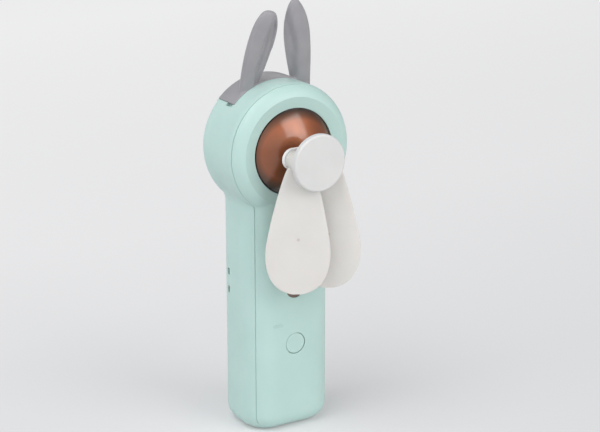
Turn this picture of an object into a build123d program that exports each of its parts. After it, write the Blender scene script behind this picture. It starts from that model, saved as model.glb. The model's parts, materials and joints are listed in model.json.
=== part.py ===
"""Handheld electric fan with a mist nozzle, fold-down blades and a rabbit-ear filler cover.

The origin is the centre of the foot, +Z is up, the fan blows towards -Y. Millimetres.
"""
import os
from math import cos, degrees, radians, sin, sqrt

from build123d import *

# ---------------------------------------------------------------- body
handle_half_width = 21.2
handle_corner = 13.0
body_half_depth = 16.6
head_radius = 29.3
head_height = 127.2
head_rounding = 7.0
foot_rounding = 7.5
neck_blend = 12.0
neck_overlap = 0.3
neck_lap_height = 1.7
wall = 2.0
seam_from_front = 4.2
tongue_thickness = 1.1
tongue_reach = 1.2
seam_groove = 0.3
slip = 0.05
touch_gap = 0.1

# ---------------------------------------------------------------- round opening and dome
opening_radius = 19.2
dish_radius = 25.2
dish_sink = 1.1
dome_gap = 0.7
dome_height = 5.2
dome_thickness = 1.2
dome_flange = 1.4
dome_hole_radius = 2.6

# ---------------------------------------------------------------- motor
motor_radius = 10.2
motor_length = 12.4
motor_flat = 8.4
can_thickness = 0.8
magnet_thickness = 1.8
rotor_radius = 6.3
rotor_length = 5.0
winding_radius = 5.2
winding_length = 1.1
commutator_radius = 2.2
magnet_overhang = 0.5
magnet_height = 11.28
bushing_clearance = 0.03
bushing_radius = 2.6
shaft_radius = 1.0
endbell_thickness = 1.6
mount_radius = 22.0
mount_thickness = 1.6
mount_skirt_wall = 1.4
mount_skirt_length = 5.0
mount_lug_radius = 2.4
boss_radius = 1.9
boss_to_flange = 0.5
screw_radius = 0.8
screw_head_radius = 1.6
screw_head_height = 1.0
boss_root = 0.4
screw_reach = 2.3
terminal_x = 5.5
terminal_depth = 0.8
terminal_height = 2.4

# ---------------------------------------------------------------- hub and blades
carrier_face = 9.4
carrier_thickness = 1.7
carrier_end_radius = 4.7
carrier_boss_radius = 2.4
carrier_boss_length = 1.4
post_radius = 1.6
column_radius = 1.9
pivot_offset = 6.4
blade_eye_radius = 4.3
blade_eye_length = 8.0
blade_end_play = 0.3
post_socket_depth = 1.2
cap_radius = 12.3
cap_thickness = 2.4
cap_rounding = 0.9
blade_length = 58.5
blade_half_width = 13.9
blade_widest = 40.0
blade_offset = 0.8
blade_root_start = 2.4
blade_root_half_width = 5.0
blade_shoulder = (7.4, 5.2)
blade_straight_end = 34.0
blade_tip_drop = 11.0
blade_tip_half_width = 9.4
blade_thickness = 1.2
blade_setback = 0.5
blade_pitch = 28.0
blade_swing = 1.8
blade_sides = {"blade_left": -1, "blade_right": 1}

# ---------------------------------------------------------------- ear cover
band_front = -1.5
band_rear = 11.8
band_half_angle = 46.0
band_sink = 1.7
band_proud = 0.4
band_gap = 0.15
pad_thickness = 1.6
plug_depth = 4.4
neck_radius = 4.15
neck_bore = 3.25
neck_drop = 0.4
plug_groove = 0.5
plug_groove_height = 1.0
notch_inset = 0.8
notch_width = 4.5
notch_reach = 1.6
ear_base_x = 13.5
ear_base_y = 0.9
ear_root_sink = 2.5
ear_edge_share = 0.45
ear_profile = [
    (0.0, 0.62),
    (0.3, 0.86),
    (0.5, 0.98),
    (0.63, 1.0),
    (0.77, 0.9),
    (0.885, 0.66),
    (0.96, 0.36),
    (1.0, 0.08),
]
ear_thickness = 4.8
ears = {
    "left": {"side": -1, "length": 38.4, "width": 13.4, "lean_in": 10.0, "lean_forward": 13.5},
    "right": {"side": 1, "length": 41.7, "width": 13.2, "lean_in": 11.8, "lean_forward": 10.8},
}

# ---------------------------------------------------------------- tank, wick and mist nozzle
motor_to_tank = 1.1
tank_rear_gap = 0.7
tank_wall = 1.4
tank_head_radius = 20.5
tank_half_width = 11.6
tank_bottom = 58.4
tank_corner = 4.5
nozzle_height = 66.4
nozzle_radius = 4.7
nozzle_flange = 1.5
nozzle_flange_thickness = 0.6
nozzle_mouth_radius = 2.4
nozzle_recess = 0.35
disc_radius = 7.6
disc_thickness = 0.6
seal_radius = 8.4
seal_thickness = 2.0
seat_radius = 8.6
seat_thickness = 1.6
seat_lug_offset = 11.0
seat_lug_radius = 1.9
wick_radius = 3.7
wick_tube_wall = 1.2
wick_clearance = 0.3
spring_length = 4.1
wick_port_length = 4.8
spring_wire = 0.35
spring_turns = 4
port_seal_thickness = 1.2

# ---------------------------------------------------------------- button, board and socket
button_height = 40.4
button_radius = 4.7
button_gap = 0.2
button_flange = 1.2
button_flange_thickness = 0.9
button_travel = 0.5
board_standoff = 4.4
board_thickness = 1.0
board_half_width = 15.0
board_bottom = 12.0
board_top = 55.0
switch_size = 6.0
switch_thickness = 2.4
plunger_radius = 1.7
plunger_tail = 0.9
light_x = -8.8
light_z = 50.0
light_length = 4.4
light_width = 1.3
led_size = 1.6
led_thickness = 0.8
socket_height = 24.0
socket_length = 7.3
socket_width = 8.9
socket_thickness = 3.2
socket_recess = 0.6
socket_gap = 0.2
board_screw_spots = [(-11.0, 16.0), (11.0, 50.0)]
chip_spots = {
    "driver": ((-9.0, -3.0), (22.0, 28.0), 1.4),
    "charger": ((1.5, 6.5), (22.0, 27.0), 1.2),
    "capacitor": ((-2.5, 0.5), (30.0, 33.0), 1.8),
}

# ---------------------------------------------------------------- battery and lanyard slots
cell_radius = 9.15
cell_length = 49.0
cell_bottom = 5.6
cell_to_case = 1.25
cell_rounding = 0.4
rib_thickness = 1.6
rib_shares = (0.2, 0.5, 0.8)
tab_thickness = 0.3
tab_width = 5.0
lanyard_y = 5.0
lanyard_heights = (71.3, 63.1)
lanyard_slot_width = 2.0
lanyard_slot_height = 3.2
lanyard_pocket_depth = 2.6
lanyard_pocket_wall = 0.9
wire_radius = 0.4
lead_x = 8.5
lead_low = 52.0
lead_shift_high = 112.0
lead_shift_low = 104.0
lead_bend = 2.5

# ---------------------------------------------------------------- depths worked out from the sizes
front = -body_half_depth
rear = body_half_depth
seam = front + seam_from_front
inner_front = front + wall
inner_rear = rear - wall
dome_flange_rear = inner_front + dome_thickness
mount_front = dome_flange_rear + touch_gap
mount_rear = mount_front + mount_thickness
motor_rear = mount_rear + motor_length
carrier_rear = front - carrier_face + carrier_thickness
carrier_front = front - carrier_face
cap_rear = carrier_front - blade_eye_length - 2 * blade_end_play
cap_front = cap_rear - cap_thickness
blade_mid = carrier_front - blade_end_play - blade_eye_length / 2
tank_front_face = motor_rear + motor_to_tank
tank_cup_front = tank_front_face + tank_wall
neck_y = tank_cup_front + neck_radius + slip
tank_rear = inner_rear - tank_rear_gap
wick_end = tank_rear - tank_wall - spring_length
port_seal_rear = tank_front_face - wick_port_length
nozzle_flange_rear = inner_front + nozzle_flange_thickness
seal_front = inner_front
seal_bore = nozzle_radius + nozzle_flange + touch_gap
seal_rear = seal_front + seal_thickness
disc_front = seal_front + (seal_thickness - disc_thickness) / 2
seat_front = seal_rear
seat_rear = seat_front + seat_thickness
board_front = inner_front + board_standoff
board_rear = board_front + board_thickness
switch_front = board_front - switch_thickness
button_rear = inner_front + button_flange_thickness
mount_circle = opening_radius + dome_flange + boss_to_flange + boss_radius
cell_y = inner_rear - cell_to_case - cell_radius
pad_radius = rear - foot_rounding - cell_y - touch_gap


def facing_front(y, x=0.0, z=0.0):
    """A drawing plane at depth y, seen from the front: X to the right, Z up."""
    return Plane(origin=(x, y, z), x_dir=(1, 0, 0), z_dir=(0, -1, 0))


def rod(y_front, y_rear, radius, x=0.0, z=head_height, mode=Mode.ADD):
    """Round bar or bore along Y between two depths."""
    with BuildSketch(facing_front(y_rear, x, z)) as profile:
        Circle(radius)
    extrude(profile.sketch, amount=y_rear - y_front, mode=mode)


def ring(y_front, y_rear, outer, inner, x=0.0, z=head_height, mode=Mode.ADD):
    """Tube along Y between two depths."""
    with BuildSketch(facing_front(y_rear, x, z)) as profile:
        Circle(outer)
        Circle(inner, mode=Mode.SUBTRACT)
    extrude(profile.sketch, amount=y_rear - y_front, mode=mode)


def block(x_range, y_range, z_range, mode=Mode.ADD):
    """Square bar between named limits."""
    width = x_range[1] - x_range[0]
    height = z_range[1] - z_range[0]
    middle = ((x_range[0] + x_range[1]) / 2, (z_range[0] + z_range[1]) / 2)
    with BuildSketch(facing_front(y_range[1], middle[0], middle[1])) as profile:
        Rectangle(width, height)
    extrude(profile.sketch, amount=y_range[1] - y_range[0], mode=mode)


def sector(y_front, y_rear, inner, outer, half_angle, mode=Mode.ADD):
    """Arched bar over the top of the head, the same to both sides of its middle."""
    reach = 2 * outer
    side = reach * sin(radians(half_angle))
    top = reach * cos(radians(half_angle))
    with BuildSketch(facing_front(y_rear, 0, head_height)) as profile:
        Circle(outer)
        Circle(inner, mode=Mode.SUBTRACT)
        with BuildLine():
            Polyline((0, 0), (side, top), (0, reach), (-side, top), close=True)
        make_face(mode=Mode.INTERSECT)
    extrude(profile.sketch, amount=y_rear - y_front, mode=mode)


def head_block(inset):
    """The round head, rounded at both faces, drawn in by the inset."""
    with BuildPart() as head:
        rod(front + inset, rear - inset, head_radius - inset)
        fillet(head.edges().filter_by(GeomType.CIRCLE), head_rounding - inset)
    return head.part


def body_block(inset):
    """Head and handle in one, drawn in by the inset on every side."""
    head = head_block(inset)
    with BuildPart() as body:
        with BuildSketch(Plane.XY.offset(inset)):
            RectangleRounded(
                2 * (handle_half_width - inset),
                2 * (body_half_depth - inset),
                handle_corner - inset,
            )
        extrude(amount=head_height - inset)
        fillet(body.faces().sort_by(Axis.Z)[0].edges(), foot_rounding - inset)
        add(head)
    return body.part


def neck_block():
    """The narrowing between head and handle: its sides are arcs that touch both."""
    head_reach = head_radius + neck_blend
    side_reach = handle_half_width + neck_blend
    drop = sqrt(head_reach**2 - side_reach**2)
    arc_height = head_height - drop
    arc_top = head_height - head_radius * drop / head_reach
    lap_top = arc_top + neck_lap_height
    lap_half_width = sqrt(head_radius**2 - (head_height - lap_top) ** 2) - neck_overlap
    heights = [arc_height + share * (arc_top - arc_height) for share in (0, 0.35, 0.7, 1)]
    half_widths = [side_reach - sqrt(neck_blend**2 - (height - arc_height) ** 2) for height in heights]
    heights.append(lap_top)
    half_widths.append(lap_half_width)
    narrowing = (handle_corner - head_rounding - foot_rounding / 4) / (lap_half_width - handle_half_width)
    with BuildPart() as neck:
        for height, half_width in zip(heights, half_widths):
            corner = handle_corner - narrowing * (half_width - handle_half_width)
            with BuildSketch(Plane.XY.offset(height)):
                RectangleRounded(2 * half_width, 2 * body_half_depth, corner)
        loft()
    return neck.part, arc_height


def outside_block():
    """The whole outside: handle, neck and head."""
    neck, neck_start = neck_block()
    with BuildPart() as body:
        with BuildSketch():
            RectangleRounded(2 * handle_half_width, 2 * body_half_depth, handle_corner)
        extrude(amount=neck_start)
        fillet(body.faces().sort_by(Axis.Z)[0].edges(), foot_rounding)
        add(neck)
        add(head_block(0))
    return body.part


def slice_of(volume, y_front, y_rear):
    """The part of a volume that lies between two depths."""
    with BuildPart() as piece:
        add(volume)
        split(bisect_by=facing_front(y_rear), keep=Keep.TOP)
        split(bisect_by=facing_front(y_front), keep=Keep.BOTTOM)
    return piece.part


def boss(y_rear, x, z):
    """Screw boss that stands on the inside of the front wall."""
    rod(inner_front - boss_root, y_rear, boss_radius, x, z)
    rod(y_rear - screw_reach, y_rear, screw_radius, x, z, Mode.SUBTRACT)


def screw(y_seat, length, x, z):
    """Pan head screw, driven forwards: its head rests at the seat depth."""
    rod(y_seat, y_seat + screw_head_height, screw_head_radius, x, z)
    rod(y_seat - length, y_seat, screw_radius, x, z)


def bar_on_head(y_front, y_rear, inner, thickness, side_angle, width):
    """Short bar across the head's round, at an angle to the left of its top."""
    with BuildSketch(facing_front(y_rear, 0, head_height)) as profile:
        with PolarLocations(inner + thickness / 2, 1, start_angle=90 + side_angle):
            Rectangle(thickness, width)
    extrude(profile.sketch, amount=y_rear - y_front, mode=Mode.SUBTRACT)


def upright(z_low, z_high, radius, x, y, mode=Mode.ADD):
    """Round bar or bore along Z."""
    with BuildSketch(Plane(origin=(x, y, z_low))) as profile:
        Circle(radius)
    extrude(profile.sketch, amount=z_high - z_low, mode=mode)


def finish(piece, label):
    """Name a finished piece and write its file."""
    piece.part.label = label
    export_step(piece.part, f"parts/{label}.step")


os.makedirs("parts", exist_ok=True)
body_outside = outside_block()
body_inside = body_block(wall)
tongue_outside = body_block(wall - tongue_thickness)
tongue_socket = body_block(wall - tongue_thickness - slip)
groove_inside = body_block(seam_groove)
mount_angles = (90, 210, 330)
mount_spots = [
    (mount_circle * cos(radians(angle)), head_height + mount_circle * sin(radians(angle)))
    for angle in mount_angles
]
seat_spots = [(side * seat_lug_offset, nozzle_height) for side in (-1, 1)]

# ---------------------------------------------------------------- front shell
seam_ring_outside = slice_of(body_outside, seam - seam_groove / 2, seam + seam_groove / 2)
with BuildPart() as seam_ring:
    add(seam_ring_outside)
    add(groove_inside, mode=Mode.SUBTRACT)
tongue_slot = slice_of(tongue_socket, seam - tongue_reach - slip, seam)
with BuildPart() as front_shell:
    add(body_outside)
    add(body_inside, mode=Mode.SUBTRACT)
    split(bisect_by=facing_front(seam), keep=Keep.TOP)
    add(tongue_slot, mode=Mode.SUBTRACT)
    add(seam_ring.part, mode=Mode.SUBTRACT)
    with BuildSketch(Plane.XY.offset(head_height)) as dish:
        with BuildLine():
            Polyline(
                (0, front - wall),
                (dish_radius, front - wall),
                (dish_radius, front),
                (opening_radius, front + dish_sink),
                (0, front + dish_sink),
                close=True,
            )
        make_face()
    revolve(dish.sketch, axis=Axis((0, 0, head_height), (0, 1, 0)), mode=Mode.SUBTRACT)
    rod(front - wall, inner_front + wall / 2, opening_radius, mode=Mode.SUBTRACT)
    for x, z in mount_spots:
        boss(mount_front, x, z)
    for x, z in seat_spots:
        boss(seat_front, x, z)
    for x, z in board_screw_spots:
        boss(board_front, x, z)
    rod(front - wall, inner_front + wall / 2, nozzle_radius + slip, z=nozzle_height, mode=Mode.SUBTRACT)
    rod(front - wall, inner_front + wall / 2, button_radius + button_gap, z=button_height, mode=Mode.SUBTRACT)
    with BuildSketch(facing_front(inner_front + wall / 2, light_x, light_z)) as light_slot:
        SlotOverall(light_length + 2 * slip, light_width + 2 * slip)
    extrude(light_slot.sketch, amount=2 * wall, mode=Mode.SUBTRACT)
finish(front_shell, "front_shell")

# ---------------------------------------------------------------- rear shell
tongue_block = slice_of(tongue_outside, seam - tongue_reach, seam + tongue_reach)
pocket_floor = head_radius - band_sink
pocket_half_angle = band_half_angle + degrees(band_gap / head_radius)
neck_top = head_height + pocket_floor - neck_drop
lanyard_low = min(lanyard_heights) - lanyard_slot_height / 2
lanyard_high = max(lanyard_heights) + lanyard_slot_height / 2
lanyard_channel = -(handle_half_width - wall) + lanyard_pocket_depth
lanyard_half_width = lanyard_slot_width / 2
pocket_edge = lanyard_half_width + lanyard_pocket_wall
socket_y = board_rear + socket_thickness / 2
rib_heights = [cell_bottom + cell_length * share for share in rib_shares]
with BuildPart() as rear_shell:
    add(body_outside)
    split(bisect_by=facing_front(seam), keep=Keep.BOTTOM)
    add(tongue_block)
    add(body_inside, mode=Mode.SUBTRACT)
    add(seam_ring.part, mode=Mode.SUBTRACT)
    sector(
        band_front - wall,
        band_rear + wall,
        pocket_floor - pad_thickness,
        head_radius - wall / 2,
        band_half_angle + wall,
    )
    sector(
        band_front - band_gap,
        band_rear + band_gap,
        pocket_floor,
        head_radius + wall,
        pocket_half_angle,
        Mode.SUBTRACT,
    )
    bar_on_head(
        band_front + notch_inset,
        band_front + notch_inset + notch_width,
        pocket_floor,
        wall + band_sink,
        band_half_angle,
        2 * notch_reach,
    )
    upright(head_height + tank_head_radius, neck_top + wall, neck_radius + slip, 0, neck_y, Mode.SUBTRACT)
    block(
        (-handle_half_width + wall / 2, lanyard_channel + lanyard_pocket_wall),
        (lanyard_y - pocket_edge, lanyard_y + pocket_edge),
        (lanyard_low - lanyard_pocket_wall, lanyard_high + lanyard_pocket_wall),
    )
    block(
        (lanyard_channel - lanyard_pocket_depth, lanyard_channel),
        (lanyard_y - lanyard_half_width, lanyard_y + lanyard_half_width),
        (lanyard_low, lanyard_high),
        Mode.SUBTRACT,
    )
    for height in lanyard_heights:
        block(
            (-handle_half_width - wall, lanyard_channel),
            (lanyard_y - lanyard_half_width, lanyard_y + lanyard_half_width),
            (height - lanyard_slot_height / 2, height + lanyard_slot_height / 2),
            Mode.SUBTRACT,
        )
    for height in rib_heights:
        with BuildSketch(Plane.XY.offset(height - rib_thickness / 2)) as rib:
            RectangleRounded(
                2 * handle_half_width - wall,
                2 * body_half_depth - wall,
                handle_corner - wall / 2,
            )
            with Locations((0, cell_y + cell_radius / 2 + rear)):
                Rectangle(2 * handle_half_width, 2 * rear, mode=Mode.INTERSECT)
            with Locations((0, cell_y)):
                Circle(cell_radius + touch_gap, mode=Mode.SUBTRACT)
        extrude(rib.sketch, amount=rib_thickness)
    socket_axis = Plane(origin=(0, socket_y, socket_height), x_dir=(0, 0, 1), z_dir=(1, 0, 0))
    with BuildSketch(socket_axis) as socket_hole:
        SlotOverall(socket_width + 2 * socket_gap, socket_thickness + 2 * socket_gap)
    extrude(socket_hole.sketch, amount=handle_half_width + wall, mode=Mode.SUBTRACT)
finish(rear_shell, "rear_shell")

# ---------------------------------------------------------------- ear cover
band_inner = pocket_floor + touch_gap
band_outer = head_radius + band_proud
plug_bottom = neck_top - plug_depth
groove_bottom = plug_bottom + plug_groove_height
ear_base_z = head_height + sqrt(head_radius**2 - ear_base_x**2) - ear_root_sink


def ear_plane(ear):
    """Drawing plane at the ear's root, square to the ear's own length."""
    lean_in = radians(ear["lean_in"])
    lean_forward = radians(ear["lean_forward"])
    length_way = Vector(-ear["side"] * sin(lean_in), -sin(lean_forward), cos(lean_in) * cos(lean_forward))
    return Plane(
        origin=(ear["side"] * ear_base_x, ear_base_y, ear_base_z),
        x_dir=length_way.cross(Vector(0, 1, 0)) * -1,
        z_dir=length_way,
    )


def ear_loft(ear):
    """Leaf shape through ovals along the ear, cut to sit on the head's round."""
    root = ear_plane(ear)
    with BuildPart() as leaf:
        for share, fullness in ear_profile:
            with BuildSketch(root.offset(share * ear["length"])):
                thinning = ear_edge_share + (1 - ear_edge_share) * fullness
                Ellipse(ear["width"] / 2 * fullness, ear_thickness / 2 * thinning)
        loft()
        rod(front, rear, head_radius + touch_gap, mode=Mode.SUBTRACT)
    return leaf.part


ear_shapes = [ear_loft(ear) for ear in ears.values()]
with BuildPart() as ear_cover:
    sector(band_front, band_rear, band_inner, band_outer, band_half_angle)
    upright(plug_bottom, head_height + band_inner + touch_gap, neck_bore - slip, 0, neck_y)
    with BuildSketch(Plane(origin=(0, neck_y, groove_bottom))) as seal_seat:
        Circle(neck_bore)
        Circle(neck_bore - slip - plug_groove, mode=Mode.SUBTRACT)
    extrude(seal_seat.sketch, amount=plug_groove_height, mode=Mode.SUBTRACT)
    for shape in ear_shapes:
        add(shape)
finish(ear_cover, "ear_cover")

with BuildPart() as filler_seal:
    with BuildSketch(Plane(origin=(0, neck_y, groove_bottom))):
        Circle(neck_bore - slip)
        Circle(neck_bore - slip - plug_groove, mode=Mode.SUBTRACT)
    extrude(amount=plug_groove_height)
finish(filler_seal, "filler_seal")

# ---------------------------------------------------------------- dome cover
dome_rim_radius = opening_radius - dome_gap
dome_rim_y = front + dish_sink + touch_gap
dome_apex_y = front - dome_height
dome_rise = dome_rim_y - dome_apex_y
dome_sphere = (dome_rim_radius**2 + dome_rise**2) / (2 * dome_rise)


def dome_y(radius, depth):
    """Where the dome's skin lies, at a radius from the axis and a depth under its outside."""
    return dome_apex_y + dome_sphere - sqrt((dome_sphere - depth) ** 2 - radius**2)


dome_bore_inside = (dome_hole_radius, dome_y(dome_hole_radius, dome_thickness))
dome_bore_outside = (dome_hole_radius, dome_y(dome_hole_radius, 0))
skirt_radius = dome_rim_radius - dome_thickness
skirt_top = (skirt_radius, dome_y(skirt_radius, dome_thickness))
with BuildPart() as dome_cover:
    with BuildSketch(Plane.XY.offset(head_height)):
        with BuildLine():
            Line(dome_bore_inside, dome_bore_outside)
            RadiusArc(dome_bore_outside, (dome_rim_radius, dome_rim_y), -dome_sphere)
            Polyline(
                (dome_rim_radius, dome_rim_y),
                (dome_rim_radius, inner_front),
                (opening_radius + dome_flange, inner_front),
                (opening_radius + dome_flange, dome_flange_rear),
                (skirt_radius, dome_flange_rear),
                skirt_top,
            )
            RadiusArc(skirt_top, dome_bore_inside, dome_sphere - dome_thickness)
        make_face()
    revolve(axis=Axis((0, 0, head_height), (0, 1, 0)))
finish(dome_cover, "dome_cover")

# ---------------------------------------------------------------- motor mount and its screws
can_boss_radius = bushing_radius + can_thickness
can_boss_length = mount_thickness - touch_gap
skirt_bore = motor_radius + slip
with BuildPart() as motor_mount:
    rod(mount_front, mount_rear, mount_radius)
    for x, z in mount_spots:
        rod(mount_front, mount_rear, mount_lug_radius, x, z)
    ring(mount_rear, mount_rear + mount_skirt_length, skirt_bore + mount_skirt_wall, skirt_bore)
    rod(mount_front, mount_rear, can_boss_radius + slip, mode=Mode.SUBTRACT)
    for x, z in mount_spots:
        rod(mount_front, mount_rear, screw_radius, x, z, Mode.SUBTRACT)
finish(motor_mount, "motor_mount")

with BuildPart() as motor_mount_screws:
    for x, z in mount_spots:
        screw(mount_rear, mount_thickness + screw_reach, x, z)
finish(motor_mount_screws, "motor_mount_screws")

# ---------------------------------------------------------------- motor
can_inner = motor_radius - can_thickness
flat_inner = motor_flat - can_thickness
endbell_front = motor_rear - endbell_thickness
bushing_bore = shaft_radius + bushing_clearance
rotor_front = mount_rear + can_thickness + 2 * touch_gap
winding_reach = rotor_length / 2 + winding_length
rotor_middle = rotor_front + winding_reach


def can_outline(radius, flat):
    """Round motor section with a flat at the top and at the bottom, for the current sketch."""
    Circle(radius)
    Rectangle(2 * radius, 2 * flat, mode=Mode.INTERSECT)


with BuildPart() as motor_can:
    with BuildSketch(facing_front(motor_rear, 0, head_height)):
        can_outline(motor_radius, motor_flat)
    extrude(amount=motor_length)
    rod(mount_rear - can_boss_length, mount_rear, can_boss_radius)
    with BuildSketch(facing_front(motor_rear, 0, head_height)) as can_hollow:
        can_outline(can_inner, flat_inner)
    extrude(can_hollow.sketch, amount=motor_length - can_thickness, mode=Mode.SUBTRACT)
    rod(mount_rear - can_boss_length, motor_rear, bushing_radius, mode=Mode.SUBTRACT)
finish(motor_can, "motor_can")

with BuildPart() as motor_endbell:
    with BuildSketch(facing_front(motor_rear, 0, head_height)):
        can_outline(can_inner, flat_inner)
    extrude(amount=endbell_thickness)
    rod(endbell_front, motor_rear, bushing_radius, mode=Mode.SUBTRACT)
finish(motor_endbell, "motor_endbell")

with BuildPart() as motor_bushings:
    ring(mount_rear - can_boss_length, mount_rear + can_thickness, bushing_radius, bushing_bore)
    ring(endbell_front, motor_rear, bushing_radius, bushing_bore)
finish(motor_bushings, "motor_bushings")

magnet_length = rotor_length + 2 * magnet_overhang
with BuildPart() as motor_magnets:
    with BuildSketch(facing_front(rotor_middle + magnet_length / 2, 0, head_height)):
        Circle(can_inner)
        Circle(can_inner - magnet_thickness, mode=Mode.SUBTRACT)
        Rectangle(2 * can_inner, magnet_height, mode=Mode.INTERSECT)
    extrude(amount=magnet_length)
finish(motor_magnets, "motor_magnets")

with BuildPart() as motor_rotor:
    with BuildSketch(facing_front(rotor_middle + rotor_length / 2, 0, head_height)):
        Circle(rotor_radius)
        with PolarLocations(rotor_radius, 3, start_angle=90):
            Rectangle(rotor_radius, shaft_radius, mode=Mode.SUBTRACT)
    extrude(amount=rotor_length)
    rod(rotor_middle - winding_reach, rotor_middle + winding_reach, winding_radius)
    rod(rotor_middle, endbell_front - touch_gap, commutator_radius)
    rod(mount_front, motor_rear, shaft_radius, mode=Mode.SUBTRACT)
finish(motor_rotor, "motor_rotor")

shaft_tip = cap_rear + post_socket_depth
with BuildPart() as motor_shaft:
    rod(shaft_tip, motor_rear - touch_gap, shaft_radius)
finish(motor_shaft, "motor_shaft")

with BuildPart() as motor_terminals:
    for side in (-1, 1):
        block(
            (side * terminal_x - 2 * wire_radius, side * terminal_x + 2 * wire_radius),
            (motor_rear, motor_rear + terminal_depth),
            (head_height - terminal_height, head_height),
        )
finish(motor_terminals, "motor_terminals")

# ---------------------------------------------------------------- hub
pivots = [-pivot_offset, pivot_offset]
post_end = cap_rear - post_socket_depth
with BuildPart() as hub_carrier:
    with BuildSketch(facing_front(carrier_rear, 0, head_height)):
        SlotCenterToCenter(2 * pivot_offset, 2 * carrier_end_radius)
    extrude(amount=carrier_thickness)
    rod(carrier_rear, carrier_rear + carrier_boss_length, carrier_boss_radius)
    rod(post_end, carrier_front, column_radius)
    for x in pivots:
        rod(post_end, carrier_front, post_radius, x)
    rod(shaft_tip, carrier_rear + carrier_boss_length, shaft_radius, mode=Mode.SUBTRACT)
finish(hub_carrier, "hub_carrier")

with BuildPart() as hub_cap:
    rod(cap_front, cap_rear, cap_radius)
    fillet(hub_cap.faces().sort_by(Axis.Y)[0].edges(), cap_rounding)
    rod(post_end, cap_rear, column_radius, mode=Mode.SUBTRACT)
    for x in pivots:
        rod(post_end, cap_rear, post_radius, x, mode=Mode.SUBTRACT)
finish(hub_cap, "hub_cap")

# ---------------------------------------------------------------- blades


def blade_plane(side):
    """Plane of a hanging blade: turned to its pitch, then swung outwards about its post."""
    pitch = radians(blade_pitch)
    turn = -side * blade_swing
    across = Vector(cos(pitch), -sin(pitch), 0).rotate(Axis.Y, turn)
    outwards = Vector(-sin(pitch), -cos(pitch), 0).rotate(Axis.Y, turn)
    return Plane(
        origin=(side * pivot_offset, blade_mid + blade_setback, head_height),
        x_dir=across,
        z_dir=outwards,
    )


def blade_edge(way):
    """Points of one long edge, root to tip: way is 1 for the leading and -1 for the trailing edge."""
    return [
        (blade_offset + way * half_width, -drop)
        for half_width, drop in (
            (blade_root_half_width, blade_root_start),
            blade_shoulder,
            (blade_half_width, blade_straight_end),
            (blade_half_width, blade_widest),
            (blade_half_width, blade_widest + blade_tip_drop),
            (blade_tip_half_width, blade_length),
            (0, blade_length),
        )
    ]


for name, side in blade_sides.items():
    with BuildPart() as blade:
        with BuildSketch(blade_plane(side)):
            with BuildLine():
                near = blade_edge(1)
                far = blade_edge(-1)
                Bezier(*near[:4])
                Bezier(*near[3:])
                Bezier(*far[:4])
                Bezier(*far[3:])
                Line(near[0], far[0])
            make_face()
        extrude(amount=blade_thickness / 2, both=True)
        rod(
            blade_mid - blade_eye_length / 2,
            blade_mid + blade_eye_length / 2,
            blade_eye_radius,
            side * pivot_offset,
        )
        rod(cap_rear, carrier_front, post_radius + slip, side * pivot_offset, mode=Mode.SUBTRACT)
    finish(blade, name)

# ---------------------------------------------------------------- water tank

def tank_outline(inset):
    """Round head part over a handle part, for the current sketch, drawn in by the inset."""
    height = head_height - tank_bottom
    Circle(tank_head_radius - inset)
    with Locations((0, -height / 2)):
        RectangleRounded(2 * (tank_half_width - inset), height - 2 * inset, tank_corner - inset)
    with Locations((0, -height / 4)):
        Rectangle(2 * (tank_half_width - inset), height / 2)


with BuildPart() as water_tank:
    with BuildSketch(facing_front(tank_rear, 0, head_height)):
        tank_outline(0)
    extrude(amount=tank_rear - tank_cup_front)
    upright(head_height + tank_head_radius - tank_wall, neck_top, neck_radius, 0, neck_y)
    with BuildSketch(facing_front(tank_rear - tank_wall, 0, head_height)) as tank_hollow:
        tank_outline(tank_wall)
    extrude(tank_hollow.sketch, amount=tank_rear - tank_wall - tank_cup_front, mode=Mode.SUBTRACT)
    upright(head_height, neck_top, neck_bore, 0, neck_y, Mode.SUBTRACT)
finish(water_tank, "water_tank")

wick_bore = wick_radius + wick_clearance
wick_tube = wick_bore + wick_tube_wall
port_seal_front = port_seal_rear - port_seal_thickness
with BuildPart() as tank_front:
    with BuildSketch(facing_front(tank_cup_front, 0, head_height)):
        tank_outline(0)
    extrude(amount=tank_wall)
    rod(port_seal_rear, tank_front_face, wick_tube, z=nozzle_height)
    rod(port_seal_rear, tank_cup_front, wick_bore, z=nozzle_height, mode=Mode.SUBTRACT)
finish(tank_front, "tank_front")

with BuildPart() as wick_port_seal:
    ring(port_seal_front, port_seal_rear, wick_tube + slip, wick_bore, z=nozzle_height)
finish(wick_port_seal, "wick_port_seal")

wick_front = disc_front + disc_thickness + touch_gap
with BuildPart() as wick:
    rod(wick_front, wick_end, wick_radius, z=nozzle_height)
finish(wick, "wick")

spring_room = spring_length - 2 * spring_wire
spring_radius = wick_radius - 2 * spring_wire
with BuildPart() as wick_spring:
    with BuildLine() as coil:
        Helix(
            spring_room / spring_turns,
            spring_room,
            spring_radius,
            center=(0, wick_end + spring_wire, nozzle_height),
            direction=(0, 1, 0),
        )
    with BuildSketch(Plane(origin=coil.line @ 0, z_dir=coil.line % 0)):
        Circle(spring_wire)
    sweep()
finish(wick_spring, "wick_spring")

# ---------------------------------------------------------------- atomizer and nozzle
with BuildPart() as nozzle_ring:
    rod(front + nozzle_recess, inner_front, nozzle_radius, z=nozzle_height)
    rod(inner_front, nozzle_flange_rear, nozzle_radius + nozzle_flange, z=nozzle_height)
    rod(front, nozzle_flange_rear, nozzle_mouth_radius, z=nozzle_height, mode=Mode.SUBTRACT)
    mouth = nozzle_ring.edges().filter_by(GeomType.CIRCLE).group_by(Axis.Y)[0].sort_by(SortBy.RADIUS)[0]
    chamfer(mouth, 2 * nozzle_recess)
finish(nozzle_ring, "nozzle_ring")

with BuildPart() as atomizer_seal:
    ring(seal_front, seal_rear, seal_radius, seal_bore, z=nozzle_height)
    ring(
        disc_front,
        disc_front + disc_thickness,
        disc_radius,
        seal_bore - slip,
        z=nozzle_height,
        mode=Mode.SUBTRACT,
    )
finish(atomizer_seal, "atomizer_seal")

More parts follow.
